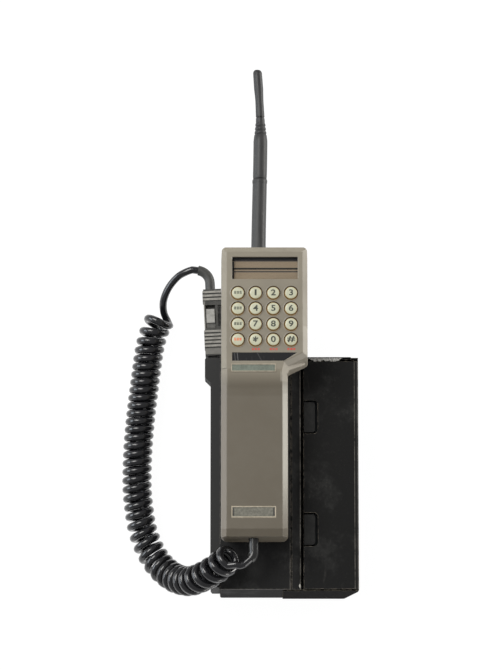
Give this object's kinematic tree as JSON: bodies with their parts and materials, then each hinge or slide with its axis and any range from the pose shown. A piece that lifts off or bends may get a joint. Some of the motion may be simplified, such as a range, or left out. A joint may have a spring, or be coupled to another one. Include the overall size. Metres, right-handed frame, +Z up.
{
  "type": "transportable cellular telephone",
  "caption": "Transportable cellular telephone lying on its back: a handset on its cradle over the radio and battery housings, with a whip aerial and a curly cord.",
  "frame": {"origin": "on the table, under the middle of the box of housings, rail, handset and aerial", "axes": "+Y along the housings towards the aerial's tip, +X to the right towards the battery, +Z up from the table towards the keypad"},
  "size_m": [0.1731, 0.3969, 0.0952],
  "materials": {
    "leatherette": "fine pebble grain, worn pale at the edges",
    "handset_shell": "satin taupe",
    "dark_plastic": "satin",
    "rail_plastic": "satin, rubbed",
    "cap_plastic": "rubbed grey brown",
    "plug_plastic": "ribbed light grey",
    "latch_plastic": "satin light grey",
    "tab_plastic": "satin grey",
    "cell_plastic": "satin",
    "cord_rubber": "glossy black",
    "relief_rubber": "satin grey",
    "aerial_rubber": "satin black",
    "mat_rubber": "satin",
    "key_cap": "ivory cap with an amber skirt",
    "clear_window": "clear",
    "smoked_window": "smoked gloss",
    "display": "reflective beige",
    "plate": "grey green",
    "label": "grey green in a beige frame",
    "board": "solder mask",
    "cast_metal": "as cast",
    "plated_metal": "plated",
    "steel": "turned",
    "brass": "turned"
  },
  "bodies": {
    "case": {"transceiver_case": "leatherette", "front_cover": "leatherette", "rf_chassis": "cast_metal", "rf_board": "board", "duplexer": "plated_metal", "screening_can": "plated_metal", "connector_rail": "rail_plastic", "rail_socket": "dark_plastic", "cradle_plate": "dark_plastic", "cradle_saddle": "dark_plastic", "mouthpiece_ring": "cord_rubber", "aerial_socket": "brass", "aerial_sleeve": "aerial_rubber", "aerial_ring": "dark_plastic", "aerial_whip": "aerial_rubber", "battery_case": "leatherette", "battery_end_cap": "cap_plastic", "battery_block": "cell_plastic", "battery_contacts": "brass", "door_catches": "tab_plastic", "hinge_pin": "steel", "case_screws": "steel", "plug_hood": "plug_plastic", "plug_nose": "dark_plastic", "plug_relief": "relief_rubber", "curly_cord": "cord_rubber"},
    "latch": {"plug_latch": "latch_plastic"},
    "door": {"battery_door": "leatherette"},
    "handset": {"handset_front": "handset_shell", "handset_rear": "handset_shell", "display_window": "clear_window", "display_module": "display", "status_window": "smoked_window", "name_plate": "plate", "label_window": "label", "handset_board": "board", "key_mat": "mat_rubber", "earpiece": "dark_plastic", "microphone": "dark_plastic", "handset_relief": "relief_rubber", "handset_screws": "steel"},
    "key_send": {"key_send": "key_cap"},
    "key_1": {"key_1": "key_cap"},
    "key_2": {"key_2": "key_cap"},
    "key_3": {"key_3": "key_cap"},
    "key_clear": {"key_clear": "key_cap"},
    "key_4": {"key_4": "key_cap"},
    "key_5": {"key_5": "key_cap"},
    "key_6": {"key_6": "key_cap"},
    "key_end": {"key_end": "key_cap"},
    "key_7": {"key_7": "key_cap"},
    "key_8": {"key_8": "key_cap"},
    "key_9": {"key_9": "key_cap"},
    "key_recall": {"key_recall": "key_cap"},
    "key_star": {"key_star": "key_cap"},
    "key_0": {"key_0": "key_cap"},
    "key_hash": {"key_hash": "key_cap"}
  },
  "joints": [
    {"name": "battery_door_hinge", "type": "hinge", "parent": "case", "child": "door", "pos_m": [0.05355, -0.1121, 0.0495], "axis": [0, 1, 0], "range_deg": [0, 110]},
    {"name": "handset_lift", "type": "slide", "parent": "case", "child": "handset", "axis": [0, 0, 1], "range_m": [0, 0.06]},
    {"name": "plug_latch_slide", "type": "slide", "parent": "case", "child": "latch", "axis": [-0.0454, 0.999, 0], "range_m": [0, 0.0024], "stiffness_N_per_m": 400, "springref_m": -0.002},
    {"name": "key_send_press", "type": "slide", "parent": "handset", "child": "key_send", "axis": [0, 0, -1], "range_m": [0, 0.0012], "stiffness_N_per_m": 280, "springref_m": -0.002},
    {"name": "key_1_press", "type": "slide", "parent": "handset", "child": "key_1", "axis": [0, 0, -1], "range_m": [0, 0.0012], "stiffness_N_per_m": 280, "springref_m": -0.002},
    {"name": "key_2_press", "type": "slide", "parent": "handset", "child": "key_2", "axis": [0, 0, -1], "range_m": [0, 0.0012], "stiffness_N_per_m": 280, "springref_m": -0.002},
    {"name": "key_3_press", "type": "slide", "parent": "handset", "child": "key_3", "axis": [0, 0, -1], "range_m": [0, 0.0012], "stiffness_N_per_m": 280, "springref_m": -0.002},
    {"name": "key_clear_press", "type": "slide", "parent": "handset", "child": "key_clear", "axis": [0, 0, -1], "range_m": [0, 0.0012], "stiffness_N_per_m": 280, "springref_m": -0.002},
    {"name": "key_4_press", "type": "slide", "parent": "handset", "child": "key_4", "axis": [0, 0, -1], "range_m": [0, 0.0012], "stiffness_N_per_m": 280, "springref_m": -0.002},
    {"name": "key_5_press", "type": "slide", "parent": "handset", "child": "key_5", "axis": [0, 0, -1], "range_m": [0, 0.0012], "stiffness_N_per_m": 280, "springref_m": -0.002},
    {"name": "key_6_press", "type": "slide", "parent": "handset", "child": "key_6", "axis": [0, 0, -1], "range_m": [0, 0.0012], "stiffness_N_per_m": 280, "springref_m": -0.002},
    {"name": "key_end_press", "type": "slide", "parent": "handset", "child": "key_end", "axis": [0, 0, -1], "range_m": [0, 0.0012], "stiffness_N_per_m": 280, "springref_m": -0.002},
    {"name": "key_7_press", "type": "slide", "parent": "handset", "child": "key_7", "axis": [0, 0, -1], "range_m": [0, 0.0012], "stiffness_N_per_m": 280, "springref_m": -0.002},
    {"name": "key_8_press", "type": "slide", "parent": "handset", "child": "key_8", "axis": [0, 0, -1], "range_m": [0, 0.0012], "stiffness_N_per_m": 280, "springref_m": -0.002},
    {"name": "key_9_press", "type": "slide", "parent": "handset", "child": "key_9", "axis": [0, 0, -1], "range_m": [0, 0.0012], "stiffness_N_per_m": 280, "springref_m": -0.002},
    {"name": "key_recall_press", "type": "slide", "parent": "handset", "child": "key_recall", "axis": [0, 0, -1], "range_m": [0, 0.0012], "stiffness_N_per_m": 280, "springref_m": -0.002},
    {"name": "key_star_press", "type": "slide", "parent": "handset", "child": "key_star", "axis": [0, 0, -1], "range_m": [0, 0.0012], "stiffness_N_per_m": 280, "springref_m": -0.002},
    {"name": "key_0_press", "type": "slide", "parent": "handset", "child": "key_0", "axis": [0, 0, -1], "range_m": [0, 0.0012], "stiffness_N_per_m": 280, "springref_m": -0.002},
    {"name": "key_hash_press", "type": "slide", "parent": "handset", "child": "key_hash", "axis": [0, 0, -1], "range_m": [0, 0.0012], "stiffness_N_per_m": 280, "springref_m": -0.002}
  ]
}
